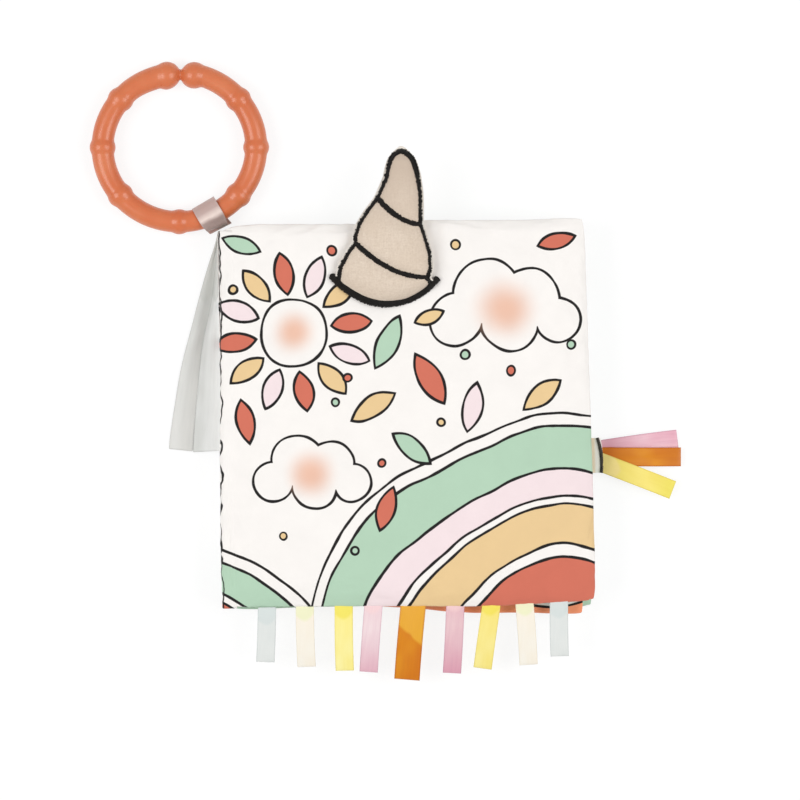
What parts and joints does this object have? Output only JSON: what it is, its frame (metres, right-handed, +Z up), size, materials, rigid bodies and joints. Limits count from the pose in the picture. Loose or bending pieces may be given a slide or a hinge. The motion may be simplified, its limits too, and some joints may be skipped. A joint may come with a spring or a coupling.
{
  "type": "cloth activity book",
  "caption": "Soft padded cloth book with an inner leaf, a stuffed horn that flaps, folded satin loops along two edges, satin tails and a plastic link ring.",
  "frame": {"origin": "middle of the rear cover's flat underside, on which the closed book lies", "axes": "+X from the spine to the fore-edge, +Y from the foot to the head, +Z up out of the front cover"},
  "size_m": [0.2832, 0.3043, 0.0386],
  "materials": {
    "printed_cloth": "matt, soft",
    "coral_cloth": "matt, soft",
    "mint_cloth": "matt, soft",
    "wadding": "matt fibre",
    "crinkle_film": "clear, glossy",
    "squeaker_plastic": "satin",
    "horn_cloth": "matt, soft",
    "black_thread": "satin stitch",
    "tab_cloth": "matt, soft",
    "grey_satin": "glossy weave",
    "cream_satin": "glossy weave",
    "yellow_satin": "glossy weave",
    "pink_satin": "glossy weave",
    "orange_satin": "glossy weave",
    "silver_satin": "glossy weave",
    "pale_satin": "glossy weave",
    "ring_plastic": "smooth, moulded"
  },
  "bodies": {
    "rear_cover": {"rear_outer_panel": "printed_cloth", "rear_wadding": "wadding", "rear_crinkle_film": "crinkle_film", "rear_inner_panel": "mint_cloth", "tail_tab": "tab_cloth"},
    "spine": {"spine_outer_strip": "printed_cloth", "spine_lining_strip": "mint_cloth"},
    "inner_leaf": {"leaf_rear_panel": "printed_cloth", "leaf_front_panel": "coral_cloth", "leaf_wadding": "wadding", "squeaker_cup": "squeaker_plastic"},
    "plunger": {"squeaker_plunger": "squeaker_plastic"},
    "front_cover": {"front_inner_panel": "mint_cloth", "front_wadding": "wadding", "front_crinkle_film": "crinkle_film", "front_outer_panel": "printed_cloth", "horn_base_stitching": "black_thread"},
    "horn": {"horn_back_panel": "horn_cloth", "horn_filling": "wadding", "horn_front_panel": "horn_cloth", "horn_lower_stitching": "black_thread", "horn_upper_stitching": "black_thread", "horn_edge_stitching": "black_thread"},
    "fringe_1": {"fringe_1_grey": "grey_satin"},
    "fringe_2": {"fringe_2_cream": "cream_satin"},
    "fringe_3": {"fringe_3_yellow": "yellow_satin"},
    "fringe_4": {"fringe_4_pink": "pink_satin"},
    "fringe_5": {"fringe_5_orange": "orange_satin"},
    "fringe_6": {"fringe_6_pink": "pink_satin"},
    "fringe_7": {"fringe_7_yellow": "yellow_satin"},
    "fringe_8": {"fringe_8_cream": "cream_satin"},
    "fringe_9": {"fringe_9_grey": "grey_satin"},
    "tail_pink": {"tail_loop_pink": "pink_satin"},
    "tail_orange": {"tail_loop_orange": "orange_satin"},
    "tail_yellow": {"tail_loop_yellow": "yellow_satin"},
    "ring_holder": {"ring_holder": "silver_satin"},
    "link_ring": {"link_ring": "ring_plastic"},
    "corner_tails": {"corner_tail_left": "pale_satin", "corner_tail_right": "pale_satin"}
  },
  "joints": [
    {"name": "spine_fold", "type": "hinge", "parent": "rear_cover", "child": "spine", "pos_m": [-0.087, 0, 0.0045], "axis": [0, -1, 0], "range_deg": [0, 60]},
    {"name": "leaf_turn", "type": "hinge", "parent": "spine", "child": "inner_leaf", "pos_m": [-0.087, 0, 0.0136], "axis": [0, -1, 0], "range_deg": [0, 50]},
    {"name": "cover_turn", "type": "hinge", "parent": "spine", "child": "front_cover", "pos_m": [-0.087, 0, 0.0223], "axis": [0, -1, 0], "range_deg": [0, 115]},
    {"name": "squeaker_press", "type": "slide", "parent": "inner_leaf", "child": "plunger", "axis": [0, 0, 1], "range_m": [-0.0012, 0], "stiffness_N_per_m": 400},
    {"name": "horn_lift", "type": "hinge", "parent": "front_cover", "child": "horn", "pos_m": [-0.008, 0.056, 0.0286], "axis": [-1, 0, 0], "range_deg": [-110, 0]},
    {"name": "fringe_1_bend", "type": "hinge", "parent": "front_cover", "child": "fringe_1", "pos_m": [-0.06906, -0.09461, 0.0223], "axis": [1, 0, 0], "range_deg": [-105, 20], "stiffness_Nm_per_rad": 0.002},
    {"name": "fringe_2_bend", "type": "hinge", "parent": "front_cover", "child": "fringe_2", "pos_m": [-0.05063, -0.09415, 0.0223], "axis": [1, 0, 0], "range_deg": [-105, 20], "stiffness_Nm_per_rad": 0.002},
    {"name": "fringe_3_bend", "type": "hinge", "parent": "front_cover", "child": "fringe_3", "pos_m": [-0.03166, -0.09397, 0.0223], "axis": [1, 0, 0], "range_deg": [-105, 20], "stiffness_Nm_per_rad": 0.002},
    {"name": "fringe_4_bend", "type": "hinge", "parent": "front_cover", "child": "fringe_4", "pos_m": [-0.01717, -0.0943, 0.0223], "axis": [1, 0, 0], "range_deg": [-105, 20], "stiffness_Nm_per_rad": 0.002},
    {"name": "fringe_5_bend", "type": "hinge", "parent": "front_cover", "child": "fringe_5", "pos_m": [0.00224, -0.0945, 0.0223], "axis": [1, 0, 0], "range_deg": [-105, 20], "stiffness_Nm_per_rad": 0.002},
    {"name": "fringe_6_bend", "type": "hinge", "parent": "front_cover", "child": "fringe_6", "pos_m": [0.02272, -0.09423, 0.0223], "axis": [1, 0, 0], "range_deg": [-105, 20], "stiffness_Nm_per_rad": 0.002},
    {"name": "fringe_7_bend", "type": "hinge", "parent": "front_cover", "child": "fringe_7", "pos_m": [0.04043, -0.09472, 0.0223], "axis": [1, 0, 0], "range_deg": [-105, 20], "stiffness_Nm_per_rad": 0.002},
    {"name": "fringe_8_bend", "type": "hinge", "parent": "front_cover", "child": "fringe_8", "pos_m": [0.05635, -0.09435, 0.0223], "axis": [1, 0, 0], "range_deg": [-105, 20], "stiffness_Nm_per_rad": 0.002},
    {"name": "fringe_9_bend", "type": "hinge", "parent": "front_cover", "child": "fringe_9", "pos_m": [0.07317, -0.09438, 0.0223], "axis": [1, 0, 0], "range_deg": [-105, 20], "stiffness_Nm_per_rad": 0.002},
    {"name": "tail_pink_bend", "type": "hinge", "parent": "rear_cover", "child": "tail_pink", "pos_m": [0.0964, -0.0226, 0.00675], "axis": [0, 1, 0], "range_deg": [-30, 0]},
    {"name": "tail_orange_bend", "type": "hinge", "parent": "tail_pink", "child": "tail_orange", "pos_m": [0.0964, -0.0226, 0.00675], "axis": [0, 1, 0], "range_deg": [-30, 0]},
    {"name": "tail_yellow_bend", "type": "hinge", "parent": "tail_orange", "child": "tail_yellow", "pos_m": [0.0964, -0.0226, 0.00675], "axis": [0, 1, 0], "range_deg": [-30, 0]},
    {"name": "holder_lift", "type": "hinge", "parent": "rear_cover", "child": "ring_holder", "pos_m": [-0.08705, 0.09325, 0.0045], "axis": [-0.8942, -0.4478, 0], "range_deg": [-30, 0]},
    {"name": "ring_swing", "type": "hinge", "parent": "ring_holder", "child": "link_ring", "pos_m": [-0.08973, 0.09862, 0.00645], "axis": [-0.8942, -0.4478, 0], "range_deg": [-90, 0]},
    {"name": "tails_lift", "type": "hinge", "parent": "rear_cover", "child": "corner_tails", "pos_m": [-0.091, 0.0914, 0.0029], "axis": [1, 0, 0], "range_deg": [-50, 0]}
  ],
  "couplings": [
    {"joint": "leaf_turn", "follows": "spine_fold", "ratio": 0.83333},
    {"joint": "cover_turn", "follows": "spine_fold", "ratio": 1.9167}
  ]
}
